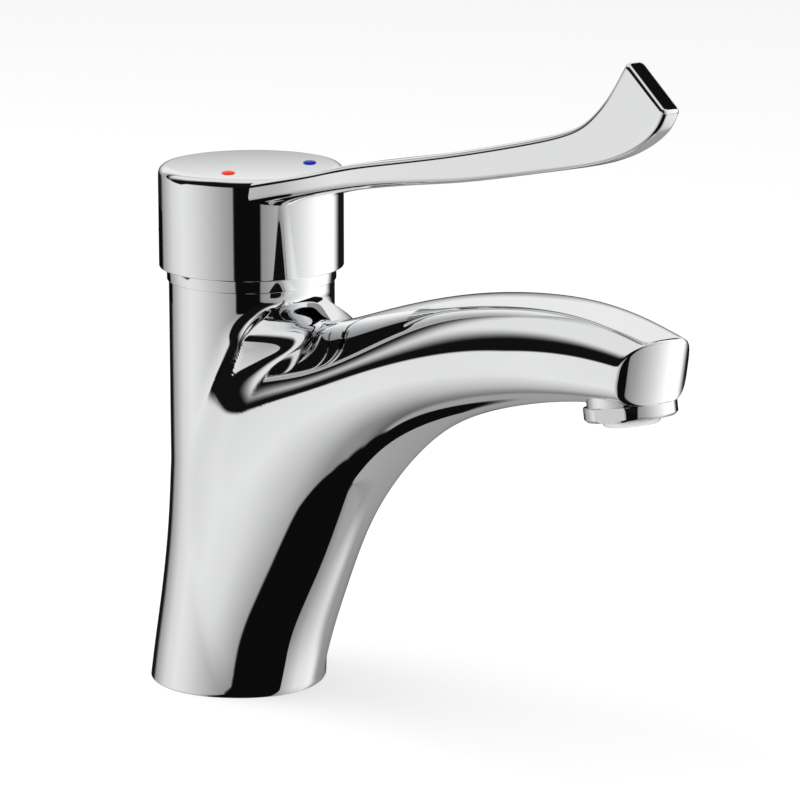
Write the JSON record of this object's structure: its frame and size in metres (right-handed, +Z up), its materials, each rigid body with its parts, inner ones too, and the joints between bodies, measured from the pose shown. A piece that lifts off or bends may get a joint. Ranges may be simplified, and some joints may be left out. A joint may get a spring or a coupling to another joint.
{
  "type": "elbow lever tap",
  "caption": "Deck mixer tap with a round column body, an arched spout with an aerator, and a long upturned elbow lever on a round cap that lifts for flow and turns for warmth.",
  "frame": {"origin": "middle of the foot's round underside, on the deck", "axes": "+X out along the spout and the lever, +Y to the cold side, +Z up along the cartridge's axis"},
  "size_m": [0.1899, 0.0472, 0.1794],
  "materials": {
    "chrome": "polished",
    "chrome_plug": "polished",
    "brass": "machined",
    "steel": "machined",
    "white_plastic": "moulded",
    "grey_plastic": "moulded",
    "outlet_plastic": "moulded",
    "ceramic": "lapped",
    "rubber": "moulded",
    "red_plastic": "gloss",
    "blue_plastic": "gloss"
  },
  "bodies": {
    "body": {"tap_body": "chrome", "base_seal": "rubber", "neck_ring": "chrome", "neck_ring_seal": "rubber", "cartridge_nut": "brass", "cartridge_housing": "white_plastic", "cartridge_base": "grey_plastic", "port_seals": "rubber", "disc_seals": "rubber", "fixed_disc": "ceramic", "temperature_stop": "grey_plastic", "aerator_housing": "chrome", "aerator_insert": "outlet_plastic", "aerator_screen": "steel", "aerator_washer": "rubber"},
    "turret": {"spindle_guide": "grey_plastic", "pivot_pin": "steel"},
    "handle": {"lever_handle": "chrome", "spindle": "steel", "handle_insert": "grey_plastic", "grub_screw": "steel", "screw_cover": "chrome_plug", "hot_marker": "red_plastic", "cold_marker": "blue_plastic"},
    "carriage": {"disc_carrier": "white_plastic", "moving_disc": "ceramic"}
  },
  "joints": [
    {"name": "temperature_turn", "type": "hinge", "parent": "body", "child": "turret", "pos_m": [0.0073, 0, 0.1052], "axis": [0, 0, 1], "range_deg": [-50, 50]},
    {"name": "flow_lift", "type": "hinge", "parent": "turret", "child": "handle", "pos_m": [0.0073, 0, 0.1052], "axis": [0, -1, 0], "range_deg": [0, 25]},
    {"name": "disc_slide", "type": "slide", "parent": "turret", "child": "carriage", "axis": [1, 0, 0], "range_m": [0, 0.00433]}
  ],
  "couplings": [
    {"joint": "disc_slide", "follows": "flow_lift", "m_per_rad": 0.00992}
  ]
}
